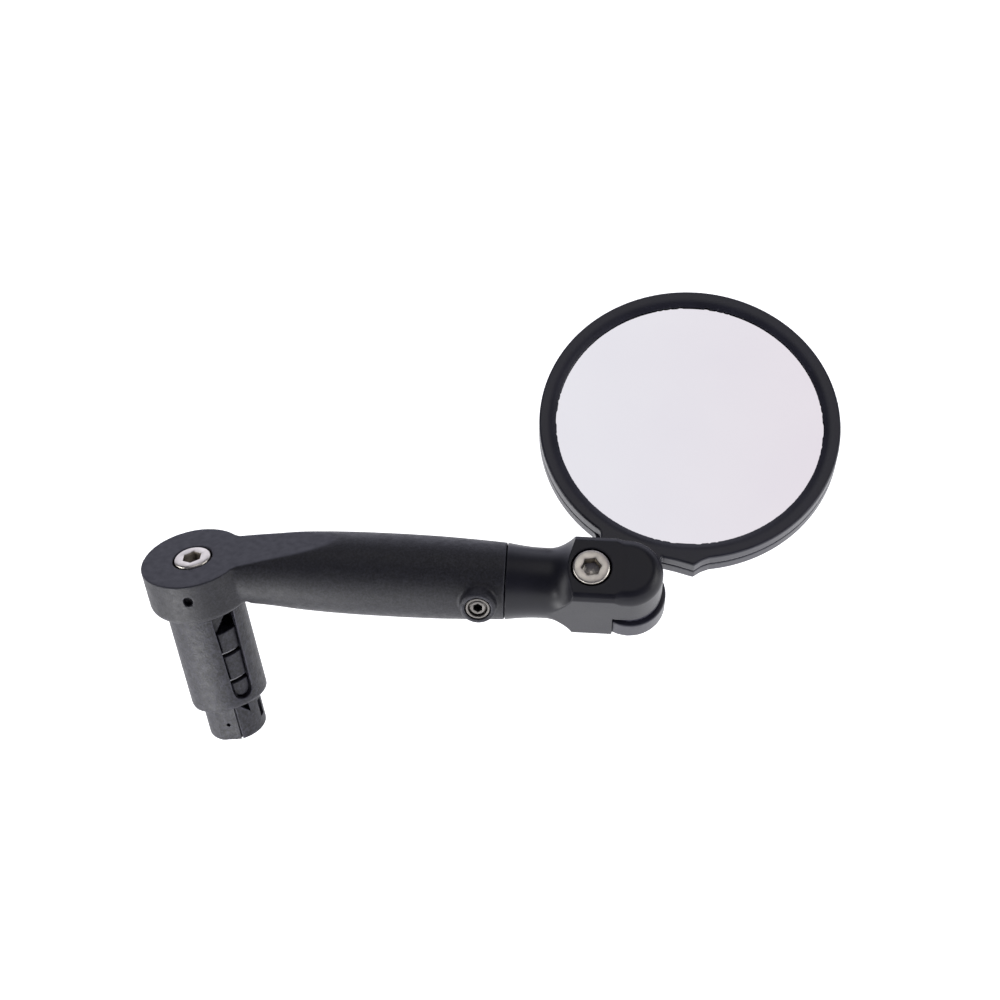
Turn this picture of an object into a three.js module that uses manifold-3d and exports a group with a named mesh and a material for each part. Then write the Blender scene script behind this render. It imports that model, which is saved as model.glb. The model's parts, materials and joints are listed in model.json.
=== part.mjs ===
// Bar-end mirror for a bicycle handlebar, in millimetres, +Z up.
//
// Origin: on the flat ring under the hub that butts on the end of the handlebar, at its point
// furthest towards -Y. +Z runs out of the bar along the plug, +X follows the arm seen from above.
//
// Nested frames carry the pieces:
//   plug frame   on the axis of the expanding plug: hub, expander and bolt, turned about Z
//   arm frame    X along the arm's axis, which drops away from the hub by ARM_DROP
//   neck frame   the arm frame rolled about its X by NECK_ROLL: X along the arm, Z along the fold axis
//   head frame   the neck frame moved to the fold axis; the mirror lies parallel to its XY plane

import * as THREE from 'three';
import { mergeVertices } from 'three/addons/utils/BufferGeometryUtils.js';
import Module from 'manifold-3d';

const wasm = await Module();
wasm.setup();

// ---------------------------------------------------------------- driving dimensions
const GAP = 0.3;                 // clearance between neighbouring pieces
const SEAT_AT = 9.85;            // distance from the plug's axis to the origin on the hub's seat
const DEG = Math.PI / 180;
const FACETS = { small: 20, medium: 32, large: 48 };   // sides of round shapes, by their size

const HUB = { radius: 12, height: 10.6, edge: 1.6, recess: 9.3, recessTop: 0.25 };
const PLUG = { radius: 9, bore: 7.3, length: 29, keyBore: 6.85 };
const WINDOW = { azimuth: 38.5 * DEG, topHalf: 2.85, endHalf: 2.35, depth: 24.7 };
const JAW = { top: -6.3, bottom: -24.2, base: 5.9, baseHalf: 3.0, face: 8.0 };
const RING_HEIGHTS = [-12.2, -19.8];
const RING = { radius: 6.7, wire: 0.4, grooveFloor: 5.0, grooveHalf: 0.8 };
const CONE = { stem: 3.6, land: 5.2, slope: 0.43, top: -13.4, end: -36.5, endRadius: 6.5, flat: 6.06 };
const M5 = { shank: 2.5, hole: 2.8, head: 4.25, headHeight: 5, key: 4, nutFlats: 8 };

const ARM_DROP = 11 * DEG;
const ARM_START = 8.6;           // height at which the arm's axis leaves the plug's axis
const ARM_END = 71.1;
const ARM_PROFILE = [[2, 7.4], [10, 7.9], [17.6, 8.25], [24.4, 8.9], [31, 9.25], [38, 9.45], [47, 9.5],
  [56, 9.4], [65, 9.05], [70.8, 8.75], [ARM_END, 8.5]];
const ARM_SWAY = 1.5;            // how far the arm bows towards +Y between its ends
const SPIGOT = { start: 42, radius: 6.0, bore: 6.3, grooveRadius: 4.8, grooveHalf: 1.6 };
const GRUB = { along: 65.4, boss: 3.7, bossTop: 11.2, screw: 2.0, tip: 1.2, insert: 2.75 };

const NECK_ROLL = 31.2 * DEG;
const NECK = { start: 71.4, waist: 8.0, waistAt: 79, blockAt: 85.5 };
const BLOCK = { half: 8, front: 10, back: -9, cheekBack: -0.6 };
const FOLD_AT = 99.2;            // distance of the fold axis along the arm
const LUG = { radius: 8, eye: 7.2, wall: 8.6, front: -1.4, eyeBack: -2.9, back: -8.6 };
const LOCK_AT = -8.9;            // lock screw, measured from the fold axis

const HEAD = { x: 12.7, y: 42.7, radius: 35, window: 31.2, seam: -4.6, lip: -2.2, floor: -6.5 };
const GLASS = { radius: 32.4, edge: -2.5, crown: 0.7, back: -4.4 };

// ---------------------------------------------------------------- materials
const blackNylon = { color: 0x2b2c30, roughness: 0.62, metalness: 0.0 };
const satinBlack = { color: 0x1d1e22, roughness: 0.45, metalness: 0.0 };
const steel = { color: 0xcfcac4, roughness: 0.25, metalness: 1.0 };
const brass = { color: 0xb08d4a, roughness: 0.35, metalness: 1.0 };
const springSteel = { color: 0x8e8f92, roughness: 0.3, metalness: 1.0 };
const mirrorGlass = { color: 0xe4e2ea, roughness: 0.03, metalness: 1.0 };
const foam = { color: 0x4a4a4c, roughness: 0.95, metalness: 0.0 };
const acetal = { color: 0xd9d7cf, roughness: 0.5, metalness: 0.0 };

// ---------------------------------------------------------------- shape helpers

// A closed geometry with shared corners, its faces pointing out.
function closed(geometry) {
  const bare = new THREE.BufferGeometry();
  bare.setAttribute('position', geometry.getAttribute('position').clone());
  if (geometry.index) bare.setIndex(geometry.index.clone());
  const merged = mergeVertices(bare, 1e-4);
  const p = merged.getAttribute('position');
  const index = merged.index.array;
  const [a, b, c] = [new THREE.Vector3(), new THREE.Vector3(), new THREE.Vector3()];
  let volume = 0;
  for (let i = 0; i < index.length; i += 3) {
    a.fromBufferAttribute(p, index[i]);
    b.fromBufferAttribute(p, index[i + 1]);
    c.fromBufferAttribute(p, index[i + 2]);
    volume += a.dot(b.cross(c)) / 6;
  }
  if (volume < 0) {
    for (let i = 0; i < index.length; i += 3) {
      [index[i], index[i + 1]] = [index[i + 1], index[i]];
    }
  }
  return merged;
}

function solid(geometry) {
  const g = closed(geometry);
  const vertProperties = Float32Array.from(g.getAttribute('position').array);
  const triVerts = Uint32Array.from(g.index.array);
  return new wasm.Manifold(new wasm.Mesh({ numProp: 3, vertProperties, triVerts }));
}

function join(...parts) {
  return parts.reduce((sum, next) => sum.add(next));
}

function cut(body, ...tools) {
  return tools.reduce((rest, tool) => rest.subtract(tool), body);
}

// A solid of revolution about Z from [radius, height] points, closed to the axis at both ends.
function turned(points, segments = FACETS.small) {
  const profile = points.map(([r, z]) => new THREE.Vector2(r, z));
  const last = points.length - 1;
  if (points[0][0] > 0) profile.unshift(new THREE.Vector2(0, points[0][1]));
  if (points[last][0] > 0) profile.push(new THREE.Vector2(0, points[last][1]));
  return new THREE.LatheGeometry(profile, segments).rotateX(Math.PI / 2);
}

function cylinder(radius, low, high, segments = FACETS.small) {
  return turned([[radius, low], [radius, high]], segments);
}

function box(x0, x1, y0, y1, z0, z1) {
  const g = new THREE.BoxGeometry(x1 - x0, y1 - y0, z1 - z0);
  return g.translate((x0 + x1) / 2, (y0 + y1) / 2, (z0 + z1) / 2);
}

// A flat outline in XY raised from low to high, with its rims chamfered by bevel.
function plate(shape, low, high, bevel = 0, curveSegments = 8) {
  const g = new THREE.ExtrudeGeometry(shape, {
    depth: high - low - 2 * bevel,
    bevelEnabled: bevel > 0,
    bevelThickness: bevel,
    bevelSize: bevel,
    bevelOffset: -bevel,
    bevelSegments: 1,
    curveSegments,
  });
  return g.translate(0, 0, low + bevel);
}

function hexagon(flats) {
  const shape = new THREE.Shape();
  const corner = flats / Math.sqrt(3);
  for (let i = 0; i < 6; i += 1) {
    const angle = (i * 60 + 30) * DEG;
    const [x, y] = [corner * Math.cos(angle), corner * Math.sin(angle)];
    if (i === 0) shape.moveTo(x, y);
    else shape.lineTo(x, y);
  }
  shape.closePath();
  return shape;
}

// X is tangential, Y is up the plug, Z points outwards from the plug's axis.
function radialFrame(azimuth) {
  const [s, c] = [Math.sin(azimuth), Math.cos(azimuth)];
  const m = new THREE.Matrix4();
  return m.makeBasis(new THREE.Vector3(c, s, 0), new THREE.Vector3(0, 0, 1), new THREE.Vector3(s, -c, 0));
}

// A socket head cap screw hanging down from its head's top face at z = top.
function capScrew(top, length, headHeight = M5.headHeight, key = M5.key) {
  const seat = top - headHeight;
  const body = solid(turned([
    [M5.shank - 0.5, seat - length],
    [M5.shank, seat - length + 0.6],
    [M5.shank, seat],
    [M5.head, seat],
    [M5.head, top - 0.45],
    [M5.head - 0.45, top],
  ]));
  return cut(body, solid(plate(hexagon(key), top - headHeight * 0.5, top + 1)));
}

function washer(outer, inner, low, high) {
  return cut(solid(cylinder(outer, low, high)), solid(cylinder(inner, low - 1, high + 1)));
}

function piece(name, manifold, look) {
  const { vertProperties, triVerts } = manifold.getMesh();
  const geometry = new THREE.BufferGeometry();
  geometry.setAttribute('position', new THREE.BufferAttribute(Float32Array.from(vertProperties), 3));
  geometry.setIndex(new THREE.BufferAttribute(Uint32Array.from(triVerts), 1));
  geometry.computeVertexNormals();
  const mesh = new THREE.Mesh(geometry, new THREE.MeshStandardMaterial(look));
  mesh.name = name;
  return mesh;
}

// ---------------------------------------------------------------- frames
const plugFrame = new THREE.Group();

const armFrame = new THREE.Group();
armFrame.position.set(0, 0, ARM_START);
armFrame.rotation.y = ARM_DROP;
plugFrame.add(armFrame);

const neckFrame = new THREE.Group();
neckFrame.rotation.x = NECK_ROLL;
armFrame.add(neckFrame);

const headFrame = new THREE.Group();
headFrame.position.set(FOLD_AT, 0, 0);
neckFrame.add(headFrame);

plugFrame.updateMatrixWorld(true);

// ---------------------------------------------------------------- arm, with its hub

// The direction in which the grub screw's boss stands, as a frame whose Z is the screw's axis.
function grubFrame() {
  return new THREE.Matrix4().makeTranslation(GRUB.along, 0, 0)
    .multiply(new THREE.Matrix4().makeRotationX(92 * DEG));
}

function armTube() {
  const points = ARM_PROFILE.map(([along, radius]) => [radius, along]);
  const g = turned(points, FACETS.medium).rotateY(Math.PI / 2);
  const p = g.getAttribute('position');
  for (let i = 0; i < p.count; i += 1) {
    const bow = ARM_SWAY * Math.sin(Math.PI * p.getX(i) / ARM_END);
    p.setY(i, p.getY(i) + bow);
    p.setZ(i, p.getZ(i) - 0.62 * bow);
  }
  return g.applyMatrix4(armFrame.matrixWorld);
}

function inArm(geometry) {
  return solid(geometry.applyMatrix4(armFrame.matrixWorld));
}

function hubStub() {
  const notch = new THREE.Shape();
  notch.moveTo(-5.0, -7);
  notch.lineTo(-2.2, -5.8);
  notch.lineTo(0.9, -1.2);
  notch.lineTo(3.2, -1.2);
  notch.lineTo(3.2, -7);
  notch.closePath();
  const cutter = solid(plate(notch, 1, 12).applyMatrix4(radialFrame(WINDOW.azimuth)));
  return cut(solid(cylinder(PLUG.bore - GAP, -6, 0.5)), cutter);
}

function makeArm() {
  const hubBody = solid(turned([
    [HUB.radius - HUB.edge, 0],
    [HUB.radius - 0.5, 0.5],
    [HUB.radius, HUB.edge],
    [HUB.radius, HUB.height - GAP],
    [HUB.radius - GAP, HUB.height],
  ], FACETS.large));
  const sleeveRecess = solid(cylinder(HUB.recess, -1, HUB.recessTop, FACETS.large));
  const hub = cut(hubBody, sleeveRecess);
  const boss = solid(turned([[4.75, 6.6], [4.75, 8.4], [GRUB.boss, 9.6],
    [GRUB.boss, GRUB.bossTop - 0.8], [GRUB.boss - 0.6, GRUB.bossTop]])
    .applyMatrix4(grubFrame()).applyMatrix4(armFrame.matrixWorld));
  const grubHole = solid(cylinder(GRUB.insert + 0.2, 5, 14)
    .applyMatrix4(grubFrame()).applyMatrix4(armFrame.matrixWorld));
  const barRelief = solid(turned([
    [HUB.radius + 0.4, -20],
    [HUB.radius + 0.4, 0.5],
    [HUB.radius - 0.5, 0.5],
    [HUB.radius - HUB.edge, 0],
  ], FACETS.large));
  const aboveHub = solid(box(-30, 80, -30, 30, HUB.height, 40));
  const bore = inArm(cylinder(SPIGOT.bore, SPIGOT.start - 1, 90).rotateY(Math.PI / 2));
  const dimple = solid(cylinder(1.0, HUB.radius - 0.5, HUB.radius + 2, 12)
    .rotateX(Math.PI / 2).translate(0, 0, 6.6));
  const boltHole = solid(cylinder(M5.hole, -20, 20));
  const counterbore = solid(cylinder(4.6, 4.4, 20));

  let arm = cut(solid(armTube()), barRelief, bore);
  arm = join(arm, hub, hubStub(), boss);
  return cut(arm, aboveHub, grubHole, dimple, boltHole, counterbore);
}

plugFrame.add(piece('arm', makeArm(), blackNylon));

// ---------------------------------------------------------------- expanding plug

function windowShape(inset, top) {
  const shape = new THREE.Shape();
  const half = WINDOW.endHalf - inset;
  const centre = -WINDOW.depth + inset + half;
  shape.moveTo(WINDOW.topHalf - inset, top);
  shape.lineTo(-(WINDOW.topHalf - inset), top);
  shape.lineTo(-half, centre);
  shape.absarc(0, centre, half, Math.PI, 2 * Math.PI, false);
  shape.closePath();
  return shape;
}

function doubleFlat(radius, flat, low, high) {
  const disc = solid(cylinder(radius, low, high));
  const slab = solid(box(-20, 20, -flat, flat, low - 1, high + 1).rotateZ(-4 * DEG));
  return disc.intersect(slab);
}

function makeSleeve() {
  const sleeve = solid(turned([
    [PLUG.radius - 1.8, -PLUG.length],
    [PLUG.radius - 0.55, -PLUG.length + 0.5],
    [PLUG.radius, -PLUG.length + 1.9],
    [PLUG.radius, HUB.recessTop - GAP],
  ], FACETS.medium));
  const windows = [0, Math.PI].map((turn) => solid(
    plate(windowShape(0, 2), 1, 14, 0, 4).applyMatrix4(radialFrame(WINDOW.azimuth + turn))));
  const bore = solid(cylinder(PLUG.bore, -25.2, 5, FACETS.medium));
  const keyBore = doubleFlat(PLUG.keyBore, CONE.flat + 0.35, -PLUG.length - 2, -25);
  return cut(sleeve, bore, keyBore, ...windows);
}

// The stem's two tapered lands, as [radius, height] points from the bottom up.
function coneLands(offset) {
  const rise = (CONE.land - CONE.stem) / CONE.slope;
  const lands = [-24.5, -18.6];
  const points = [];
  lands.forEach((low, i) => {
    if (i > 0) points.push([CONE.stem + offset, low - offset]);
    points.push([CONE.land + offset, low - offset]);
    points.push([CONE.stem + offset, low + rise]);
  });
  return points;
}

function makeJaw(azimuth) {
  const frame = radialFrame(azimuth);
  const base = solid(box(-JAW.baseHalf, JAW.baseHalf, JAW.bottom, JAW.top, 3.0, 12).applyMatrix4(frame))
    .intersect(solid(cylinder(JAW.base, -40, 0, FACETS.medium)));
  const tongue = solid(plate(windowShape(0.5, JAW.top), 4.5, 12, 0, 4).applyMatrix4(frame))
    .intersect(solid(cylinder(JAW.face, -40, 0, FACETS.medium)));
  const grooves = RING_HEIGHTS.map(
    (z) => washer(20, RING.grooveFloor, z - RING.grooveHalf, z + RING.grooveHalf));
  const lands = coneLands(GAP);
  const core = solid(turned([[lands[0][0], -40], ...lands, [CONE.stem + GAP, 5]]));
  return cut(join(base, tongue), core, ...grooves);
}

function makeCone() {
  const body = solid(turned([
    [CONE.endRadius - 1.2, CONE.end],
    [CONE.endRadius - 0.3, CONE.end + 0.35],
    [CONE.endRadius, CONE.end + 1.2],
    [CONE.endRadius, -27.4],
    [CONE.land, -27.4],
    ...coneLands(0),
    [CONE.stem, CONE.top],
  ]));
  const flats = [1, -1].map((side) => solid(
    box(-20, 20, Math.min(side * CONE.flat, side * 20), Math.max(side * CONE.flat, side * 20), -40, -27)
      .rotateZ(-4 * DEG)));
  const nutPocket = solid(plate(hexagon(M5.nutFlats + 0.4), -40, -31));
  const wedge = new THREE.Shape([new THREE.Vector2(-0.9, -27), new THREE.Vector2(1.3, -27),
    new THREE.Vector2(1.0, -30.3)]);
  const notch = solid(plate(wedge, 5.5, 9).applyMatrix4(radialFrame(39.5 * DEG)));
  const slot = solid(box(-0.55, 0.55, -34.4, -30.4, 4, 9).applyMatrix4(radialFrame(81 * DEG)));
  const dimple = solid(cylinder(0.5, 5.6, 9, 8).applyMatrix4(radialFrame(-4 * DEG)).translate(0, 0, -32.6));
  return cut(body, ...flats, nutPocket, solid(cylinder(M5.hole, -60, 10)), notch, slot, dimple);
}

function makeRing(z) {
  const profile = [];
  for (let i = 0; i <= 6; i += 1) {
    const a = (i % 6) * 60 * DEG;
    profile.push(new THREE.Vector2(RING.radius + RING.wire * Math.cos(a), z + RING.wire * Math.sin(a)));
  }
  return solid(new THREE.LatheGeometry(profile, 24).rotateX(Math.PI / 2));
}

function makeDrawNut() {
  const nut = solid(plate(hexagon(M5.nutFlats), -35.3, -31.3));
  return cut(nut, solid(cylinder(M5.shank + 0.2, -50, 0)));
}

const BOLT_TOP = HUB.height + 0.3;
plugFrame.add(
  piece('plug_sleeve', makeSleeve(), blackNylon),
  piece('jaw_front', makeJaw(WINDOW.azimuth), blackNylon),
  piece('jaw_rear', makeJaw(WINDOW.azimuth + Math.PI), blackNylon),
  piece('jaw_ring_upper', makeRing(RING_HEIGHTS[0]), springSteel),
  piece('jaw_ring_lower', makeRing(RING_HEIGHTS[1]), springSteel),
  piece('draw_cone', makeCone(), blackNylon),
  piece('draw_nut', makeDrawNut(), steel),
  piece('plug_bolt', capScrew(BOLT_TOP, 40), steel),
  piece('bolt_washer', washer(4.4, M5.hole, 4.7, 5.6), steel),
);

// ---------------------------------------------------------------- grub screw of the swivel

function makeGrubScrew() {
  const body = solid(turned([[GRUB.tip, SPIGOT.grooveRadius + GAP], [GRUB.tip, 6.6],
    [GRUB.screw, 7.0], [GRUB.screw, 10.4], [GRUB.screw - 0.3, 10.7]], 16));
  return cut(body, solid(plate(hexagon(2), 8.7, 12)));
}

const grubParts = new THREE.Group();
grubParts.applyMatrix4(grubFrame());
grubParts.add(
  piece('grub_screw', makeGrubScrew(), steel),
  piece('grub_insert', washer(GRUB.insert, GRUB.screw + 0.2, 6.7, 11.0), brass),
);
armFrame.add(grubParts);

// ---------------------------------------------------------------- swivel neck and knuckle block

// Distance from the axis to the block's rounded square section, in the direction of an angle.
function blockRadius(angle) {
  const [c, s] = [Math.cos(angle), Math.sin(angle)];
  const height = s > 0 ? BLOCK.front : -BLOCK.back;
  const power = 7;
  const sum = Math.abs(c / BLOCK.half) ** power + Math.abs(s / height) ** power;
  return sum ** (-1 / power);
}

function neckRadius(along, angle) {
  const taper = Math.min((along - NECK.start) / (NECK.waistAt - NECK.start), 1);
  const round = 8.7 + (NECK.waist - 8.7) * Math.sin(taper * Math.PI / 2);
  if (along <= NECK.waistAt) return round;
  const flare = Math.min((along - NECK.waistAt) / (NECK.blockAt - NECK.waistAt), 1) ** 1.7;
  return round * (1 - flare) + blockRadius(angle) * flare;
}

// A skin through round sections along X, capped at both ends.
function loft(stations, radiusAt, count = 40) {
  const positions = [];
  const index = [];
  stations.forEach((x) => {
    for (let j = 0; j < count; j += 1) {
      const angle = (j / count) * 2 * Math.PI;
      const r = radiusAt(x, angle);
      positions.push(x, r * Math.cos(angle), r * Math.sin(angle));
    }
  });
  const ring = (i, j) => i * count + (j % count);
  for (let i = 0; i < stations.length - 1; i += 1) {
    for (let j = 0; j < count; j += 1) {
      index.push(ring(i, j), ring(i + 1, j + 1), ring(i + 1, j));
      index.push(ring(i, j), ring(i, j + 1), ring(i + 1, j + 1));
    }
  }
  const last = stations.length - 1;
  const [start, end] = [positions.length / 3, positions.length / 3 + 1];
  positions.push(stations[0], 0, 0, stations[last], 0, 0);
  for (let j = 0; j < count; j += 1) {
    index.push(start, ring(0, j + 1), ring(0, j));
    index.push(end, ring(last, j), ring(last, j + 1));
  }
  const g = new THREE.BufferGeometry();
  g.setAttribute('position', new THREE.Float32BufferAttribute(positions, 3));
  g.setIndex(index);
  return g;
}

function cheekShape() {
  const shape = new THREE.Shape();
  shape.moveTo(NECK.blockAt + 1, -BLOCK.half);
  shape.lineTo(FOLD_AT, -BLOCK.half);
  shape.absarc(FOLD_AT, 0, BLOCK.half, -Math.PI / 2, Math.PI / 2, false);
  shape.lineTo(NECK.blockAt + 1, BLOCK.half);
  shape.closePath();
  return shape;
}

function blockBackShape() {
  const shape = new THREE.Shape();
  shape.moveTo(NECK.blockAt + 1, -BLOCK.half);
  shape.lineTo(FOLD_AT - 2, -BLOCK.half);
  shape.lineTo(FOLD_AT - 2, 0);
  shape.lineTo(FOLD_AT - LUG.wall, 0);
  shape.lineTo(FOLD_AT - LUG.wall, BLOCK.half);
  shape.lineTo(NECK.blockAt + 1, BLOCK.half);
  shape.closePath();
  return shape;
}

function makeNeck() {
  const spigot = solid(turned([
    [SPIGOT.radius - 0.6, SPIGOT.start],
    [SPIGOT.radius, SPIGOT.start + 0.6],
    [SPIGOT.radius, GRUB.along - SPIGOT.grooveHalf],
    [SPIGOT.grooveRadius, GRUB.along - SPIGOT.grooveHalf],
    [SPIGOT.grooveRadius, GRUB.along + SPIGOT.grooveHalf],
    [SPIGOT.radius, GRUB.along + SPIGOT.grooveHalf],
    [SPIGOT.radius, NECK.start + 1],
  ]).rotateY(Math.PI / 2));
  const stations = [NECK.start, 74, 76.5, NECK.waistAt, 81, 83, 84.5, NECK.blockAt, 88.5];
  const neck = solid(loft(stations, neckRadius));
  const cheek = solid(plate(cheekShape(), BLOCK.cheekBack - 4, BLOCK.front, 1.4, 10))
    .intersect(solid(box(60, 130, -20, 20, BLOCK.cheekBack, 20)));
  const back = solid(plate(blockBackShape(), BLOCK.back, 4, 1.0))
    .intersect(solid(box(60, 130, -20, 20, -20, 3)));
  const lugRoom = solid(cylinder(LUG.wall, -20, BLOCK.cheekBack, FACETS.large).translate(FOLD_AT, 0, 0));
  const washerRoom = solid(cylinder(7.1, -5, 0.0).translate(FOLD_AT, 0, 0));
  const insertRoom = solid(cylinder(3.6, -5, 6.6).translate(FOLD_AT, 0, 0));
  const lockAt = FOLD_AT + LOCK_AT;
  const headRoom = solid(cylinder(4.6, 4.85, 20).translate(lockAt, 0, 0));
  const lockRoom = solid(cylinder(3.6, -0.6, 6).translate(lockAt, 0, 0));
  const tipRoom = solid(cylinder(1.9, -3.4, 6, 12).translate(lockAt, 0, 0));
  return cut(join(spigot, neck, cheek, back.subtract(lugRoom)),
    washerRoom, insertRoom, headRoom, lockRoom, tipRoom);
}

function makeLockScrew() {
  const top = BLOCK.front + 0.15;
  const seat = top - M5.headHeight;
  const body = solid(turned([[1.1, -2.8], [1.4, -2.4], [1.4, -0.4], [M5.shank, 0.1], [M5.shank, seat],
    [M5.head, seat], [M5.head, top - 0.45], [M5.head - 0.45, top]]));
  return cut(body, solid(plate(hexagon(M5.key), top - 2.5, top + 1)));
}

neckFrame.add(piece('swivel_neck', makeNeck(), satinBlack));

const knuckleParts = new THREE.Group();
knuckleParts.position.set(FOLD_AT, 0, 0);
knuckleParts.add(
  piece('hinge_washer', washer(6.8, 3.1, -1.1, -0.3), acetal),
  piece('pivot_insert', washer(3.3, M5.shank + 0.2, 0.3, 6.3), brass),
  piece('pivot_screw', cut(
    solid(turned([[M5.head - 0.5, -8.6], [M5.head, -8.1], [M5.head, -6.6], [M5.shank, -6.6],
      [M5.shank, 5.4], [M5.shank - 0.5, 6.0]])),
    solid(plate(hexagon(3), -12, -7.3))), steel),
  piece('pivot_washer', washer(4.7, M5.hole, -6.3, -5.7), springSteel),
);
neckFrame.add(knuckleParts);

const lockParts = new THREE.Group();
lockParts.position.set(FOLD_AT + LOCK_AT, 0, 0);
lockParts.add(
  piece('lock_screw', makeLockScrew(), steel),
  piece('lock_insert', washer(3.35, M5.shank + 0.2, 0.3, 4.6), brass),
);
neckFrame.add(lockParts);

// ---------------------------------------------------------------- mirror head

// The outline shared by bezel and housing: the round rim, run out through a flange to the fold lug.
function headOutline(lugRadius) {
  const shape = new THREE.Shape();
  const leave = -134 * DEG;
  const meet = -82.4 * DEG;
  const lugStart = 32 * DEG;
  shape.moveTo(lugRadius * Math.cos(lugStart), lugRadius * Math.sin(lugStart));
  shape.absarc(0, 0, lugRadius, lugStart, -Math.PI, true);
  shape.lineTo(-7.6, 11.6);
  shape.quadraticCurveTo(-7.5, 15.2, HEAD.x + HEAD.radius * Math.cos(leave),
    HEAD.y + HEAD.radius * Math.sin(leave));
  shape.absarc(HEAD.x, HEAD.y, HEAD.radius, leave, meet - 2 * Math.PI, true);
  shape.lineTo(14.3, 6.4);
  shape.lineTo(7.0, 8.8);
  shape.quadraticCurveTo(6.2, 7.0, lugRadius * Math.cos(lugStart), lugRadius * Math.sin(lugStart));
  return shape;
}

function roundHead(radius, low, high, segments = FACETS.large) {
  return cylinder(radius, low, high, segments).translate(HEAD.x, HEAD.y, 0);
}

function makeBezel() {
  const plateBody = solid(plate(headOutline(LUG.eye), HEAD.seam, LUG.front, 0.5, 22));
  const opening = solid(roundHead(HEAD.window, -10, 2));
  const seat = solid(roundHead(GLASS.radius + GAP, -10, HEAD.lip));
  const eyeRelief = solid(cylinder(LUG.radius + 0.4, -10, LUG.eyeBack, FACETS.medium));
  return cut(plateBody, opening, seat, eyeRelief, solid(cylinder(2.85, -10, 2)));
}

function makeHousing() {
  const shell = solid(plate(headOutline(LUG.radius), LUG.back, HEAD.seam - GAP, 0.6, 22));
  const lug = solid(cylinder(LUG.radius, -7, LUG.eyeBack - GAP, FACETS.medium));
  const dome = solid(turned([[0, -10.5], [16, -10.1], [27, -9.5], [33, -8.7], [33, LUG.back + 1]],
    FACETS.large).translate(HEAD.x, HEAD.y, 0));
  const pocket = solid(roundHead(GLASS.radius + GAP, HEAD.floor, 2));
  const lugBolt = solid(cylinder(2.85, -20, 2));
  const lugHead = solid(cylinder(5.1, -20, -5.4));
  return cut(join(shell, lug, dome), pocket, lugBolt, lugHead);
}

function makeGlass() {
  const points = [[GLASS.radius, GLASS.back], [GLASS.radius, GLASS.edge]];
  for (const part of [0.7, 0.35, 0]) {
    points.push([GLASS.radius * part, GLASS.edge + GLASS.crown * (1 - part ** 2)]);
  }
  return solid(turned(points, FACETS.large).translate(HEAD.x, HEAD.y, 0));
}

headFrame.add(
  piece('mirror_housing', makeHousing(), satinBlack),
  piece('mirror_bezel', makeBezel(), satinBlack),
  piece('mirror_glass', makeGlass(), mirrorGlass),
  piece('glass_pad', solid(roundHead(30, HEAD.floor + GAP, GLASS.back - GAP)), foam),
);

const mirror = new THREE.Group();
plugFrame.position.y = SEAT_AT;
mirror.add(plugFrame);

export default mirror;
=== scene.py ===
"""Bar-end bicycle mirror: the looks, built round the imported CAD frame.

Every piece is shaped in millimetres in a local frame and goes out in metres. The main frames are:
  plug frame   on the plug's axis, Z out of the bar
  arm frame    X along the arm, which drops away from the hub
  neck frame   the arm frame rolled about X, so that Z is the fold axis
  head frame   the neck frame moved to the fold axis
The two small screws of the arm and the neck have frames of their own, and so does each jaw.
Moulded pieces are signed distance fields turned into smooth meshes. Turned pieces are stacks of rings.
"""

import json
import math

import bpy
import numpy as np
from mathutils import Matrix, Vector


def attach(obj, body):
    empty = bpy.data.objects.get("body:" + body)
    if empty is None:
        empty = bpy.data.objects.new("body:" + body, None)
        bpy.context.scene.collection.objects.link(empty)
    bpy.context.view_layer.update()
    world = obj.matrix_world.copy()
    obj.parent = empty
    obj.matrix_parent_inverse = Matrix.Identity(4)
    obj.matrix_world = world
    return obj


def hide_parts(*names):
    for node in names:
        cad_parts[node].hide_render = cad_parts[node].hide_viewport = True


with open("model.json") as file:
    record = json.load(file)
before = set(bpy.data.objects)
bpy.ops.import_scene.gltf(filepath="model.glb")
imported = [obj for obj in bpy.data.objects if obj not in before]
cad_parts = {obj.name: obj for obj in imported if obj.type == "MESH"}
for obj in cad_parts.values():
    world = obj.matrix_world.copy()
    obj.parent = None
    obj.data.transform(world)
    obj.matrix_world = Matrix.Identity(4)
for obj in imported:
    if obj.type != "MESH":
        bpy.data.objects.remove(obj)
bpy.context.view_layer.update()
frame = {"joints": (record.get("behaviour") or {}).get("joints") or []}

MM = 0.001
COARSE = 1.0     # multiplies every grid step; a larger value gives a wider grid

# ---------------------------------------------------------------- frames, from the record's joints
joint = {j["name"]: j for j in frame["joints"]}


def unit(v):
    v = np.array(v, float)
    return v / np.linalg.norm(v)


arm_x = unit(joint["neck_swivel"]["axis"])
fold_n = -unit(joint["mirror_fold"]["axis"])
arm_at = np.array(joint["neck_swivel"]["pos_m"], float) / MM
fold_at = np.array(joint["mirror_fold"]["pos_m"], float) / MM
plug_at = np.array([arm_at[0], arm_at[1], 0.0])
side_y = np.array([0.0, 1.0, 0.0])
arm_w = np.cross(arm_x, side_y)
fold_u = np.cross(fold_n, arm_x)

PLUG = (plug_at, np.eye(3))
NECK = (arm_at, np.array([arm_x, fold_u, fold_n]))
HEAD = (fold_at, np.array([arm_x, fold_u, fold_n]))
FOLD = float(np.linalg.norm(fold_at - arm_at))          # fold axis along the arm
ARM_HEIGHT = float(arm_at[2])
grub_z = unit(joint["grub_back_off"]["axis"])
grub_y = np.cross(grub_z, arm_x)
GRUB_ALONG, LOCK_ALONG = 65.4, 90.3          # the two screws, along the arm
GRUB = (arm_at + GRUB_ALONG * arm_x, np.array([arm_x, grub_y, grub_z]))
LOCK = (arm_at + LOCK_ALONG * arm_x, NECK[1])


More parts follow.
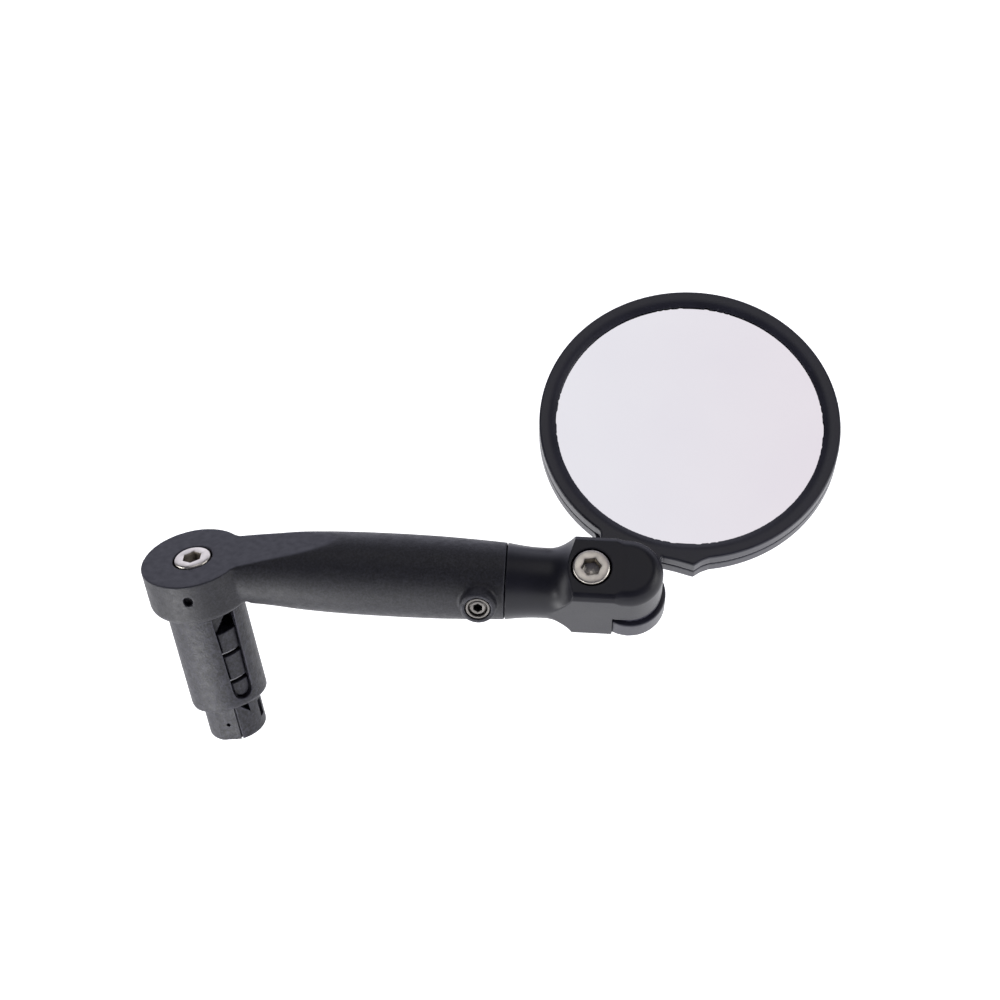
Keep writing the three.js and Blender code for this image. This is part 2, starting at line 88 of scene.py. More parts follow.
def azimuth_frame(degrees):
    """X tangential, Y up the plug, Z outwards, at an azimuth counted from -Y towards +X."""
    a = math.radians(degrees)
    s, c = math.sin(a), math.cos(a)
    return plug_at, np.array([[c, s, 0], [0, 0, 1], [s, -c, 0]])


def radial_axes(degrees, x, y):
    """Tangential and outward distances at an azimuth."""
    _, basis = azimuth_frame(degrees)
    return x * basis[0, 0] + y * basis[0, 1], x * basis[2, 0] + y * basis[2, 1]


WINDOW_AZIMUTH, FLATS_AZIMUTH = 38.5, -4     # the front window, and the end piece's front flat

# ---------------------------------------------------------------- distance fields


def rmax(a, b, r=0.0):
    """Intersection of two fields, its edge rounded to radius r."""
    if r <= 0:
        return np.maximum(a, b)
    return np.minimum(-r, np.maximum(a, b)) + np.hypot(np.maximum(a + r, 0), np.maximum(b + r, 0))


def rmin(a, b, r=0.0):
    """Union of two fields, its corner filled to radius r."""
    return -rmax(-a, -b, r)


def cut(a, b, r=0.0):
    return rmax(a, -b, r)


def slab(z, low, high):
    return np.maximum(low - z, z - high)


def rod(x, y, z, radius, low, high, r=0.0):
    return rmax(np.hypot(x, y) - radius, slab(z, low, high), r)


def poly(x, y, points):
    """Signed distance to a closed polygon."""
    best = np.full(np.broadcast(x, y).shape, 1e9)
    sign = np.ones(best.shape)
    n = len(points)
    for i in range(n):
        (ax, ay), (bx, by) = points[i], points[i - 1]
        ex, ey = bx - ax, by - ay
        wx, wy = x - ax, y - ay
        t = np.clip((wx * ex + wy * ey) / (ex * ex + ey * ey), 0, 1)
        best = np.minimum(best, (wx - ex * t) ** 2 + (wy - ey * t) ** 2)
        above, below = y >= ay, y < by
        left = ex * wy > ey * wx
        flip = (above & below & left) | (~above & ~below & ~left)
        sign = np.where(flip, -sign, sign)
    return sign * np.sqrt(best)


def hexagon(x, y, flats):
    x, y = np.abs(x), np.abs(y)
    return np.maximum(y, y * 0.5 + x * math.sqrt(0.75)) - flats / 2


CORNERS = [(i, j, k) for i in (0, 1) for j in (0, 1) for k in (0, 1)]
EDGES = [(a, b) for a in range(8) for b in range(a + 1, 8)
         if sum(abs(p - q) for p, q in zip(CORNERS[a], CORNERS[b])) == 1]


def surface(field, low, high, step):
    """Surface nets: points and quads of the field's zero level, the points drawn onto it."""
    step = step * COARSE
    axes = [np.arange(lo - 1.53 * step, hi + 2.5 * step, step) for lo, hi in zip(low, high)]
    value = field(*np.meshgrid(*axes, indexing="ij"))
    inside = value < 0
    shape = tuple(n - 1 for n in inside.shape)

    def corner(c):
        return tuple(slice(o, o + n) for o, n in zip(c, shape))

    count = sum(inside[corner(c)].astype(np.int8) for c in CORNERS)
    cells = np.argwhere((count > 0) & (count < 8))
    number = np.full(shape, -1)
    number[tuple(cells.T)] = np.arange(len(cells))
    at = [value[tuple((cells + c).T)] for c in CORNERS]
    total, hits = np.zeros((len(cells), 3)), np.zeros(len(cells))
    for a, b in EDGES:
        crosses = (at[a] < 0) != (at[b] < 0)
        t = np.where(crosses, at[a] / np.where(crosses, at[a] - at[b], 1), 0)
        start, way = np.array(CORNERS[a]), np.subtract(CORNERS[b], CORNERS[a])
        total += crosses[:, None] * (start + t[:, None] * way)
        hits += crosses
    points = (cells + total / hits[:, None]) * step + [a[0] for a in axes]

    quads = []
    for axis in range(3):
        u, v = (axis + 1) % 3, (axis + 2) % 3
        low_side = [slice(None)] * 3
        high_side = [slice(None)] * 3
        low_side[axis], high_side[axis] = slice(0, -1), slice(1, None)
        change = inside[tuple(low_side)].astype(np.int8) - inside[tuple(high_side)]
        at_edge = np.argwhere(change != 0)
        way = change[tuple(at_edge.T)]
        keep = (at_edge[:, u] > 0) & (at_edge[:, v] > 0)
        at_edge, way = at_edge[keep], way[keep]
        ring = []
        for du, dv in ((1, 1), (0, 1), (0, 0), (1, 0)):
            cell = at_edge.copy()
            cell[:, u] -= du
            cell[:, v] -= dv
            ring.append(number[tuple(cell.T)])
        ring = np.stack(ring, 1)
        ring[way < 0] = ring[way < 0][:, ::-1]
        quads.append(ring)
    quads = np.concatenate(quads)

    for _ in range(3):                       # each pass draws the points closer to the zero level
        normals, value = slope(field, points, 0.04)
        size = np.maximum((normals ** 2).sum(1), 0.2)
        move = np.clip(value / size, -0.6 * step, 0.6 * step)
        points = points - normals * move[:, None]
    normals, _ = slope(field, points, 0.05)
    normals /= np.maximum(np.linalg.norm(normals, axis=1), 1e-6)[:, None]
    return points, quads, normals


def slope(field, points, e):
    x, y, z = points.T
    gradient = np.stack([
        field(x + e, y, z) - field(x - e, y, z),
        field(x, y + e, z) - field(x, y - e, z),
        field(x, y, z + e) - field(x, y, z - e)], 1) / (2 * e)
    return gradient, field(x, y, z)


# ---------------------------------------------------------------- meshes and objects


def place(points, local):
    at, basis = local
    return (np.asarray(points, float) @ basis + at) * MM


def make_object(name, points, faces, material, body, node, normals=None, sharp=None):
    mesh = bpy.data.meshes.new(name)
    mesh.from_pydata(points.tolist(), [], faces)
    mesh.validate()
    mesh.update()
    mesh.polygons.foreach_set("use_smooth", [True] * len(mesh.polygons))
    if sharp is not None:
        mesh.set_sharp_from_angle(angle=math.radians(sharp))
    if normals is not None:
        mesh.normals_split_custom_set_from_vertices(normals.tolist())
    o = bpy.data.objects.new(name, mesh)
    bpy.context.scene.collection.objects.link(o)
    mesh.materials.append(material)
    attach(o, body)
    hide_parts(node)


def moulded(name, field, low, high, step, local, material, body, node):
    points, quads, normals = surface(field, low, high, step)
    make_object(name, place(points, local), quads.tolist(), material, body, node, normals @ local[1])


def ring_stack(rings, count, closed=False):
    """Points and faces of rings about Z. A ring is (radius, z), and its radius may differ by angle."""
    angle = np.arange(count) / count * 2 * math.pi
    points = np.concatenate([
        np.stack([r * np.cos(angle), r * np.sin(angle), np.broadcast_to(z, count)], 1)
        for r, z in ((np.broadcast_to(r, count), z) for r, z in rings)])
    faces = []
    total = len(rings)
    for i in range(total if closed else total - 1):
        a, b = i * count, (i + 1) % total * count
        faces += [[a + j, a + (j + 1) % count, b + (j + 1) % count, b + j] for j in range(count)]
    if not closed:
        faces.append(list(range(count))[::-1])
        faces.append([(total - 1) * count + j for j in range(count)])
    return points, faces


def turned(name, rings, local, material, body, node, count=48, closed=False, sharp=32):
    points, faces = ring_stack(rings, count, closed)
    make_object(name, place(points, local), faces, material, body, node, sharp=sharp)


def hex_radius(flats, count, turn=0.0):
    angle = np.arange(count) / count * 2 * math.pi + turn
    return flats / 2 / np.cos((angle + math.pi / 6) % (math.pi / 3) - math.pi / 6)


def socket(key, top, depth, count, turn=0.0):
    """Rings of a hex socket, from its countersunk rim in the top face to the drill point."""
    across = hex_radius(key, count, turn)
    wide = key / math.sqrt(3) + 0.12
    return [(wide, top), (np.minimum(across + 0.03, wide), top - 0.07), (across, top - 0.14),
            (across, top - depth), (across * 0.9, top - depth - 0.1), (0.5, top - depth - 0.75)]


THREAD_STEPS = 7                             # rings in each turn of a thread


def thread(outer, depth, pitch, low, high, count):
    """Rings of a threaded shank from low to high, its crests running round as a helix."""
    angle = np.arange(count) / count
    rings = []
    total = int((high - low) / pitch * THREAD_STEPS)
    for i in range(total + 1):
        z = low + (high - low) * i / total
        phase = (z / pitch - angle) % 1.0
        wave = np.clip(np.abs(phase * 2 - 1) * 1.35 - 0.12, 0, 1)
        ease = min(1.0, (z - low) / 0.8 + 0.15, (high - z) / 0.8 + 0.15)
        rings.append((outer - depth * wave * ease, z))
    return rings


SCREW_COUNT = 60                             # points round a screw
M5_SHANK, M5_HEAD, M5_KEY = 2.5, 4.25, 4.0   # radii, and the key's width
M5_PITCH, M5_DEPTH = 0.8, 0.42               # of the thread


def head_rings(top, seat):
    """Rings of a cylindrical M5 head, chamfered at the top."""
    return [(M5_HEAD - 0.2, seat), (M5_HEAD, seat + 0.2), (M5_HEAD, top - 0.5), (M5_HEAD - 0.1, top - 0.26),
            (M5_HEAD - 0.28, top - 0.09), (M5_HEAD - 0.5, top)]


def cap_screw(top, height, length, key, low_tip):
    """Rings of an M5 socket head screw, from its tip to the bottom of its socket."""
    seat, tip = top - height, top - height - length
    rings = [(low_tip, tip), (M5_SHANK - 0.45, tip)]
    rings += thread(M5_SHANK, M5_DEPTH, M5_PITCH, tip + 0.4, seat - 3.0, SCREW_COUNT)
    rings += [(M5_SHANK, seat - 0.9), (M5_SHANK + 0.2, seat)]
    return rings + head_rings(top, seat) + socket(key, top, height * 0.5, SCREW_COUNT)


def annulus(outer, inner, low, high, edge=0.15):
    return [(inner + edge, low), (outer - edge, low), (outer, low + edge), (outer, high - edge),
            (outer - edge, high), (inner + edge, high), (inner, high - edge), (inner, low + edge)]


def knurled(outer, inner, low, high, count):
    """A threaded insert: two knurled bands with a plain groove between them."""
    knurl = outer - 0.2 + 0.16 * (np.arange(count) % 4 < 2)
    groove = outer - 0.45
    middle = (low + high) / 2
    return [(inner + 0.2, low), (outer - 0.35, low), (knurl, low + 0.3), (knurl, middle - 0.5),
            (groove, middle - 0.3), (groove, middle + 0.3), (knurl, middle + 0.5), (knurl, high - 0.3),
            (outer - 0.35, high), (inner + 0.2, high), (inner, high - 0.2), (inner, low + 0.2)]


# ---------------------------------------------------------------- materials


class Nodes:
    """A short way to write a node material."""

    def __init__(self, name):
        self.material = bpy.data.materials.new(name)
        self.material.use_nodes = True
        self.tree = self.material.node_tree
        self.shader = self.tree.nodes["Principled BSDF"]
        self.place = self.add("ShaderNodeTexCoord").outputs["Object"]

    def add(self, kind, inputs=None, **settings):
        node = self.tree.nodes.new(kind)
        for key, value in settings.items():
            setattr(node, key, value)
        for key, value in (inputs or {}).items():
            self.set(node.inputs[key], value)
        return node

    def set(self, target, value):
        if isinstance(value, bpy.types.NodeSocket):
            self.tree.links.new(value, target)
        else:
            target.default_value = value

    def noise(self, size_mm, detail=2.0, rough=0.5):
        return self.add("ShaderNodeTexNoise", {
            "Vector": self.place, "Scale": 1 / (size_mm * MM), "Detail": detail, "Roughness": rough,
        }).outputs["Fac"]

    def ramp(self, value, low, high, out_low=0.0, out_high=1.0):
        return self.add("ShaderNodeMapRange", {
            "Value": value, "From Min": low, "From Max": high, "To Min": out_low, "To Max": out_high,
        }).outputs["Result"]

    def math(self, operation, a, b):
        return self.add("ShaderNodeMath", {0: a, 1: b}, operation=operation).outputs[0]

    def mix(self, factor, a, b):
        node = self.add("ShaderNodeMix", data_type="RGBA")
        self.set(node.inputs[0], factor)
        self.set(node.inputs[6], a)
        self.set(node.inputs[7], b)
        return node.outputs[2]

    def edges(self, low=0.52, high=0.60):
        """1 on convex edges, 0 on flat and hollow places."""
        return self.ramp(self.add("ShaderNodeNewGeometry").outputs["Pointiness"], low, high)

    def bump(self, height, strength, distance_mm):
        return self.add("ShaderNodeBump", {
            "Height": height, "Strength": strength, "Distance": distance_mm * MM}).outputs["Normal"]

    def finish(self, **values):
        for key, value in values.items():
            self.set(self.shader.inputs[key.replace("_", " ")], value)
        return self.material


def grey(v, tint=(1.0, 1.0, 1.4)):
    return (v * tint[0], v * tint[1], v * tint[2], 1.0)


def nylon_material(name, dark, light, specular, grain_mm, relief, top_height=None):
    """Nylon with a spark-eroded grain and a painted highlight on its convex edges; if top_height is given,
    the hub's flat top is smoother and carries a painted sheen.
    """
    m = Nodes(name)
    fine, coarse = m.noise(grain_mm, 3.0, 0.62), m.noise(1.5, 2.0)
    cloud = m.noise(14.0, 2.0)
    grain = m.math("ADD", m.math("MULTIPLY", fine, 0.75), m.math("MULTIPLY", coarse, 0.25))
    speck = m.ramp(fine, 0.38, 0.66)
    colour = m.mix(speck, grey(dark), grey(light))
    colour = m.mix(m.ramp(cloud, 0.3, 0.7, 0.0, 0.35), colour, grey((dark + light) * 0.42))
    # painted highlight: convex edges are lightened
    colour = m.mix(m.math("MULTIPLY", m.edges(), 0.6), colour, grey(light * 2.4))
    rough = m.ramp(coarse, 0.3, 0.7, 0.44, 0.58)
    strength = relief
    if top_height is not None:
        z = m.add("ShaderNodeSeparateXYZ", {"Vector": m.place}).outputs["Z"]
        # painted sheen: the hub's flat top is painted lighter, as its smooth face catches the light from
        # behind and above; its grain bump is also weaker, as the top is smoother
        flat = m.ramp(z, (top_height - 0.12) * MM, (top_height - 0.02) * MM)
        colour = m.mix(m.math("MULTIPLY", flat, 0.85), colour, grey((dark + light) * 1.2))
        strength = m.ramp(flat, 0.0, 1.0, relief, 0.07)
    normal = m.bump(grain, strength, 0.14)
    return m.finish(Base_Color=colour, Roughness=rough, Normal=normal, Specular_IOR_Level=specular)


BLUED = (1.0, 1.0, 1.7)      # the satin moulding's black is slightly blue


def satin_material(name, value, rough, specular):
    m = Nodes(name)
    fine, cloud = m.noise(0.35, 2.0), m.noise(9.0, 3.0)
    colour = m.mix(m.ramp(cloud, 0.3, 0.7), grey(value * 0.85, BLUED), grey(value * 1.25, BLUED))
    # painted highlight: convex edges are lightened
    colour = m.mix(m.math("MULTIPLY", m.edges(0.53, 0.64), 0.35), colour, grey(value * 3.0, BLUED))
    roughness = m.ramp(m.math("ADD", m.math("MULTIPLY", fine, 0.5), m.math("MULTIPLY", cloud, 0.5)),
                       0.3, 0.7, rough - 0.05, rough + 0.07)
    return m.finish(Base_Color=colour, Roughness=roughness, Normal=m.bump(fine, 0.10, 0.03),
                    Specular_IOR_Level=specular)


def shaded(colour, share):
    """An opaque colour, darker or lighter by a share."""
    return (*[min(1.0, c * share) for c in colour], 1.0)


def metal_material(name, colour, rough):
    """Metal with dull clouds, a painted highlight on its edges and painted shade down in sockets and thread
    roots.
    """
    m = Nodes(name)
    fine, cloud = m.noise(0.25, 3.0), m.noise(2.2, 3.0)
    shade = m.mix(m.ramp(cloud, 0.35, 0.7, 0.0, 0.6), shaded(colour, 1.0), shaded(colour, 0.72))
    # painted highlight: convex edges are lightened
    shade = m.mix(m.math("MULTIPLY", m.edges(), 0.5), shade, shaded(colour, 1.15))
    # painted shade: ambient occlusion darkens sockets and thread roots
    hollow = m.add("ShaderNodeAmbientOcclusion", {"Distance": 1.6 * MM}, samples=8, only_local=True)
    open_part = m.ramp(hollow.outputs["AO"], 0.45, 0.92)
    shade = m.mix(open_part, shaded(colour, 0.10), shade)
    roughness = m.ramp(cloud, 0.3, 0.7, rough, rough + 0.12)
    return m.finish(Base_Color=shade, Metallic=1.0, Roughness=roughness, Normal=m.bump(fine, 0.05, 0.03))


def glass_material(name):
    m = Nodes(name)
    haze = m.noise(22.0, 2.0)
    colour = m.mix(m.ramp(haze, 0.25, 0.75), (0.885, 0.872, 0.925, 1.0), (0.905, 0.895, 0.94, 1.0))
    roughness = m.ramp(haze, 0.2, 0.8, 0.02, 0.045)
    return m.finish(Base_Color=colour, Metallic=1.0, Roughness=roughness,
                    Normal=m.bump(m.noise(40.0, 1.0), 0.02, 0.02))


def plain_material(name, colour, rough, size_mm, strength):
    m = Nodes(name)
    fine = m.noise(size_mm, 3.0)
    shade = m.mix(m.ramp(fine, 0.3, 0.7), shaded(colour, 1.0), shaded(colour, 0.8))
    return m.finish(Base_Color=shade, Roughness=m.ramp(fine, 0.3, 0.7, rough - 0.05, rough + 0.05),
                    Normal=m.bump(fine, strength, 0.15))


HUB_TOP = 10.6
NYLON_ARM = nylon_material("nylon_arm", 0.005, 0.020, 0.42, 0.5, 0.55, HUB_TOP)
NYLON_PLUG = nylon_material("nylon_plug", 0.002, 0.036, 0.40, 0.75, 1.0)
SATIN_NECK = satin_material("satin_neck", 0.0065, 0.36, 0.34)
SATIN_HEAD = satin_material("satin_head", 0.014, 0.36, 0.50)
BRIGHT_STEEL = metal_material("bright_steel", (0.66, 0.62, 0.56), 0.26)
DARK_STEEL = metal_material("dark_steel", (0.20, 0.19, 0.18), 0.38)
SPRING_STEEL = metal_material("spring_steel", (0.30, 0.30, 0.31), 0.28)
BRASS = metal_material("turned_brass", (0.70, 0.52, 0.26), 0.30)
ACETAL = plain_material("acetal", (0.72, 0.71, 0.67), 0.45, 3.0, 0.05)
FOAM = plain_material("foam_tape", (0.05, 0.05, 0.054), 0.9, 0.5, 0.6)
MIRROR = glass_material("mirror_glass")

# ---------------------------------------------------------------- arm with its hub
ARM_PROFILE = np.array([                     # along the arm, radius
    [2, 7.4], [10, 7.9], [17.6, 8.25], [24.4, 8.9], [31, 9.25], [38, 9.45], [47, 9.5], [56, 9.4],
    [65, 9.05], [70.8, 8.75], [73, 8.6]])
ARM_END = 71.1
SWAY = 1.5                                   # how far the arm bows sideways
PROFILE_STEP, SMOOTHED_OVER = 0.25, 9        # the profile's corners are rounded over this length
along_fine = np.arange(-10, 90, PROFILE_STEP)
radius_fine = np.interp(along_fine, *ARM_PROFILE.T)
weights = np.hanning(int(SMOOTHED_OVER / PROFILE_STEP) + 1)
inner_part = slice(30, -30)                  # the ends of the list have no neighbours to average with
radius_fine[inner_part] = np.convolve(radius_fine, weights / weights.sum(), "same")[inner_part]
DROP_SIN, DROP_COS = float(-arm_x[2]), float(arm_x[0])


def plug_to_arm(x, z):
    return (x * DROP_COS - (z - ARM_HEIGHT) * DROP_SIN, x * DROP_SIN + (z - ARM_HEIGHT) * DROP_COS)


GRUB_SIN, GRUB_COS = float(-(grub_z @ side_y)), float(-(grub_z @ arm_w))
HUB_RADIUS, SEAT_RECESS, RECESS_TOP, STUB_RADIUS = 12.0, 9.3, 0.25, 7.0
BOLT_HOLE, COUNTERBORE, COUNTERBORE_FLOOR = 2.8, 4.6, 4.4
SPIGOT_BORE, BORE_START = 6.3, 41            # the bore that holds the neck's spigot
BOSS_RADIUS, BOSS_TOP, GRUB_HOLE = 4.1, 11.2, 2.95
FILLET = 0.8
# the wedge on the stub that shows in the window: across, up
FLAP = [(-2.5, 0.5), (2.9, 0.5), (2.5, -0.7), (-1.75, -6.15), (-2.4, -6.15)]


def arm_field(x, y, z):
    s, w = plug_to_arm(x, z)
    radial = np.hypot(x, y)
    bow = SWAY * np.sin(math.pi * np.clip(s, 0, ARM_END) / ARM_END)
    tube = np.hypot(y - bow, w + 0.62 * bow) - np.interp(s, along_fine, radius_fine)
    tube = rmax(tube, s - ARM_END, 0.35)
    tube = rmax(tube, 2 - s)
    tube = cut(tube, np.maximum(radial - HUB_RADIUS - 0.4, z - 0.5), 0.3)
    hub = rmax(radial - HUB_RADIUS, -z, 1.6)
    body = rmin(hub, tube, FILLET)
    body = cut(body, np.maximum(radial - SEAT_RECESS, z - RECESS_TOP))
    gx, gy, gz = s - GRUB_ALONG, w * GRUB_SIN - y * GRUB_COS, -y * GRUB_SIN - w * GRUB_COS
    boss = rmax(np.hypot(gx, gy) - BOSS_RADIUS, slab(gz, 5.0, BOSS_TOP), 0.75)
    body = rmin(body, boss, FILLET)
    body = rmax(body, z - HUB_TOP, 0.32)
    body = cut(body, np.maximum(np.hypot(y, w) - SPIGOT_BORE, BORE_START - s))
    body = cut(body, np.maximum(np.hypot(gx, gy) - GRUB_HOLE, 5 - gz), 0.2)
    stub = rod(x, y, z, STUB_RADIUS, -6.0, 0.5, 0.25)
    across, outward = radial_axes(WINDOW_AZIMUTH, x, y)
    stub = cut(stub, np.maximum(np.maximum(np.abs(across) - 3.3, z + 0.3), 1 - outward), 0.1)
    flap = np.maximum(slab(radial, 6.1, STUB_RADIUS), poly(across, z, FLAP))
    stub = np.minimum(stub, np.maximum(flap, 1 - outward))
    body = np.minimum(body, stub)
    body = cut(body, radial - BOLT_HOLE, 0.15)
    body = cut(body, np.maximum(radial - COUNTERBORE, COUNTERBORE_FLOOR - z), 0.25)
    dimple = np.maximum(np.hypot(x, z - 6.6) - 1.1, y + 10.4)
    return cut(body, dimple, 0.1)


moulded("arm_moulding", arm_field, (-12, -12, -17), (73, 12.5, 10.7), 0.42, PLUG, NYLON_ARM,
        "arm", "arm")

# ---------------------------------------------------------------- expanding plug


WINDOW_HALF, WINDOW_BOTTOM, WINDOW_FLARE = 2.35, -24.7, 0.5


def window_field(across, z, inset, top):
    """The sleeve's window: round at the bottom, a little wider towards the top."""
    centre = WINDOW_BOTTOM + WINDOW_HALF
    half = WINDOW_HALF + WINDOW_FLARE * np.clip((z - centre) / (2 - centre), 0, 1.1) - inset
    round_end = np.hypot(across, z - centre) - (WINDOW_HALF - inset)
    body = np.where(z > centre, np.abs(across) - half, round_end)
    return np.maximum(body, z - top)


SLEEVE_RADIUS, SLEEVE_BOTTOM, SLEEVE_CAVITY = 9, -28.2, 7.3
FOOT_RADIUS, FOOT_FLAT, FOOT_BOTTOM = 6.75, 6.25, -36.9


def flats_distance(x, y):
    """Distance from the plane through the axis that is parallel to the end piece's flats."""
    turn = math.radians(FLATS_AZIMUTH)
    return np.abs(y * math.cos(turn) - x * math.sin(turn))


def sleeve_field(x, y, z):
    radial = np.hypot(x, y)
    _, front = radial_axes(25, x, y)
    bottom = SLEEVE_BOTTOM + 0.2 * np.maximum(front - 2, 0)      # the rim rises a little in front
    body = rmax(radial - SLEEVE_RADIUS, bottom - z, 1.2)
    body = rmax(body, z - RECESS_TOP + 0.3, 0.2)
    across, outward = radial_axes(WINDOW_AZIMUTH, x, y)
    body = cut(body, np.maximum(radial - SLEEVE_CAVITY, -25.2 - z), 0.1)
    body = cut(body, np.maximum(radial - FOOT_RADIUS - 0.1, flats_distance(x, y) - FOOT_FLAT - 0.16), 0.15)
    return cut(body, np.maximum(window_field(across, z, 0.0, 4), 1 - np.abs(outward)), 0.3)


moulded("sleeve_moulding", sleeve_field, (-9, -9, -29), (9, 9, 0), 0.3, PLUG, NYLON_PLUG,
        "plug", "plug_sleeve")

LANDS = [-24.5, -18.6]
STEM_RADIUS, LAND_HEIGHT, CONE_SLOPE = 3.6, 1.6, 0.43
JAW_BOTTOM, JAW_TOP = -24.2, -6.3
RING_HEIGHTS = {"upper": -12.2, "lower": -19.8}
RING_RADIUS, WIRE_RADIUS, GROOVE_HALF = 6.85, 0.4, 0.58


def lands_radius(z, offset):
    """Radius of the draw cone's stem with its two tapered lands at a height."""
    radius = np.full(np.shape(z), STEM_RADIUS + offset)
    for low in LANDS:
        share = np.clip((z - low + offset) / (LAND_HEIGHT / CONE_SLOPE), 0, 1)
        on_land = (z > low - offset) & (share < 1)
        land = STEM_RADIUS + LAND_HEIGHT + offset - LAND_HEIGHT * share
        radius = np.where(on_land, np.maximum(radius, land), radius)
    return radius


def jaw_field(x, y, z):
    """A jaw in its own radial frame: x across, y up, z outwards."""
    radial = np.hypot(x, z)
    base = rmax(rmax(np.abs(x) - 3.0, 3.0 - z, 0.2), radial - 5.9, 0.2)
    base = rmax(base, slab(y, JAW_BOTTOM, JAW_TOP), 0.25)
    tongue = np.maximum(window_field(x - 0.2, y, 0.28, JAW_TOP), 4.5 - z)
    tongue = rmax(tongue, radial - 8.0, 0.35)
    body = np.minimum(base, tongue)
    for height in RING_HEIGHTS.values():
        body = cut(body, np.maximum(np.abs(y - height) - GROOVE_HALF, 5.0 - radial), 0.1)
    body = cut(body, radial - lands_radius(y, 0.3), 0.1)
    for travel in (1.0, 2.0, 2.8):      # room for the lands at the end of the draw too
        body = np.maximum(body, lands_radius(y - travel, 0.12) - np.hypot(x, z + CONE_SLOPE * travel))
    return body


for name, turn in (("jaw_front", 0), ("jaw_rear", 180)):
    moulded(name + "_moulding", jaw_field, (-3.2, -24.4, 2.5), (3.2, -6.1, 8.1), 0.2,
            azimuth_frame(WINDOW_AZIMUTH + turn), NYLON_PLUG, name, name)


FOOT_NOTCHES = [    # azimuth, distance of the notch's floor from the axis, outline across and up
    (39.5, 4.6, [(-2.1, -26.9), (1.1, -26.9), (1.1, -30.5)]),
    (17.5, 6.0, [(-0.16, -37.2), (0.16, -37.2), (0.16, -26.9), (-0.16, -26.9)]),
    (82, 4.2, [(-0.8, -34.2), (0.8, -34.2), (0.8, -29.6), (-0.8, -29.6)])]


def cone_field(x, y, z):
    radial = np.hypot(x, y)
    foot = rmax(radial - FOOT_RADIUS, slab(z, FOOT_BOTTOM, -27.4), 0.25)
    foot = rmax(foot, flats_distance(x, y) - FOOT_FLAT)
    stem = np.maximum(radial - lands_radius(z, 0.0), slab(z, -28.0, -13.4))
    body = rmin(foot, stem, 0.2)
    body = cut(body, np.maximum(hexagon(y, x, 8.4), z + 31), 0.12)
    body = cut(body, radial - BOLT_HOLE, 0.1)
    for degrees, floor_at, points in FOOT_NOTCHES:
        across, outward = radial_axes(degrees, x, y)
        body = cut(body, np.maximum(poly(across, z, points), floor_at - outward), 0.05)
    across, outward = radial_axes(FLATS_AZIMUTH, x, y)
    dimple = np.maximum(np.hypot(across, z + 32.6) - 0.45, 5.4 - outward)
    return cut(body, dimple, 0.05)


moulded("cone_moulding", cone_field, (-6.8, -6.8, FOOT_BOTTOM), (6.8, 6.8, -13.4), 0.17, PLUG, NYLON_PLUG,
        "cone", "draw_cone")


def wire_rings(z):
    """Rings of a round wire bent into a circle at a height."""
    around = [i / 12 * 2 * math.pi for i in range(12)]
    return [(RING_RADIUS + WIRE_RADIUS * math.cos(a), z + WIRE_RADIUS * math.sin(a)) for a in around]


for which, height in RING_HEIGHTS.items():
    turned("wire_ring_" + which, wire_rings(height), PLUG, SPRING_STEEL, "plug", "jaw_ring_" + which,
           72, closed=True, sharp=60)

NUT_COUNT = 48
nut = hex_radius(8.0, NUT_COUNT, math.pi / 6)
round_off = np.minimum(nut, 4.25)
turned("hex_draw_nut", [
    (2.72, -35.1), (2.9, -35.3), (3.75, -35.3), (round_off, -35.05), (nut, -34.75), (nut, -31.85),
    (round_off, -31.55), (3.75, -31.3), (2.9, -31.3), (2.72, -31.5)], PLUG, BRIGHT_STEEL,
    "cone", "draw_nut", NUT_COUNT, closed=True, sharp=25)

turned("plug_screw", cap_screw(HUB_TOP + 0.3, 5.0, 40.0, M5_KEY, 1.2), PLUG, BRIGHT_STEEL,
       "bolt", "plug_bolt", SCREW_COUNT)
turned("plug_screw_washer", annulus(4.4, BOLT_HOLE, 4.7, 5.6), PLUG, BRIGHT_STEEL,
       "arm", "bolt_washer", closed=True)

# ---------------------------------------------------------------- grub screw
GRUB_COUNT = 48
turned("grub_set_screw", [
    (0.4, 5.1), (1.05, 5.1), (1.2, 5.3), (1.2, 6.55), (1.75, 6.95)]
    + thread(2.0, 0.3, 0.7, 7.0, 10.35, GRUB_COUNT)
    + [(1.95, 10.45), (1.6, 10.7)] + socket(2.0, 10.7, 1.9, GRUB_COUNT)[:-1] + [(0.3, 8.6)],
    GRUB, DARK_STEEL, "grub", "grub_screw", GRUB_COUNT)
turned("grub_bush", annulus(2.75, 2.2, 6.7, 11.0, 0.12), GRUB, DARK_STEEL,
       "arm", "grub_insert", closed=True)

# ---------------------------------------------------------------- swivel neck and knuckle
HALF, FRONT, BACK = 8.0, 10.0, -9.0          # the knuckle block's half width, front and back
FLARE_WALL, FLARE_RADIUS = 86.9, 6.5
NECK_START, NECK_RADIUS, NECK_TAPER = 71.25, 8.7, 0.7
SPIGOT_RADIUS, GROOVE_RADIUS = 6.0, 4.8


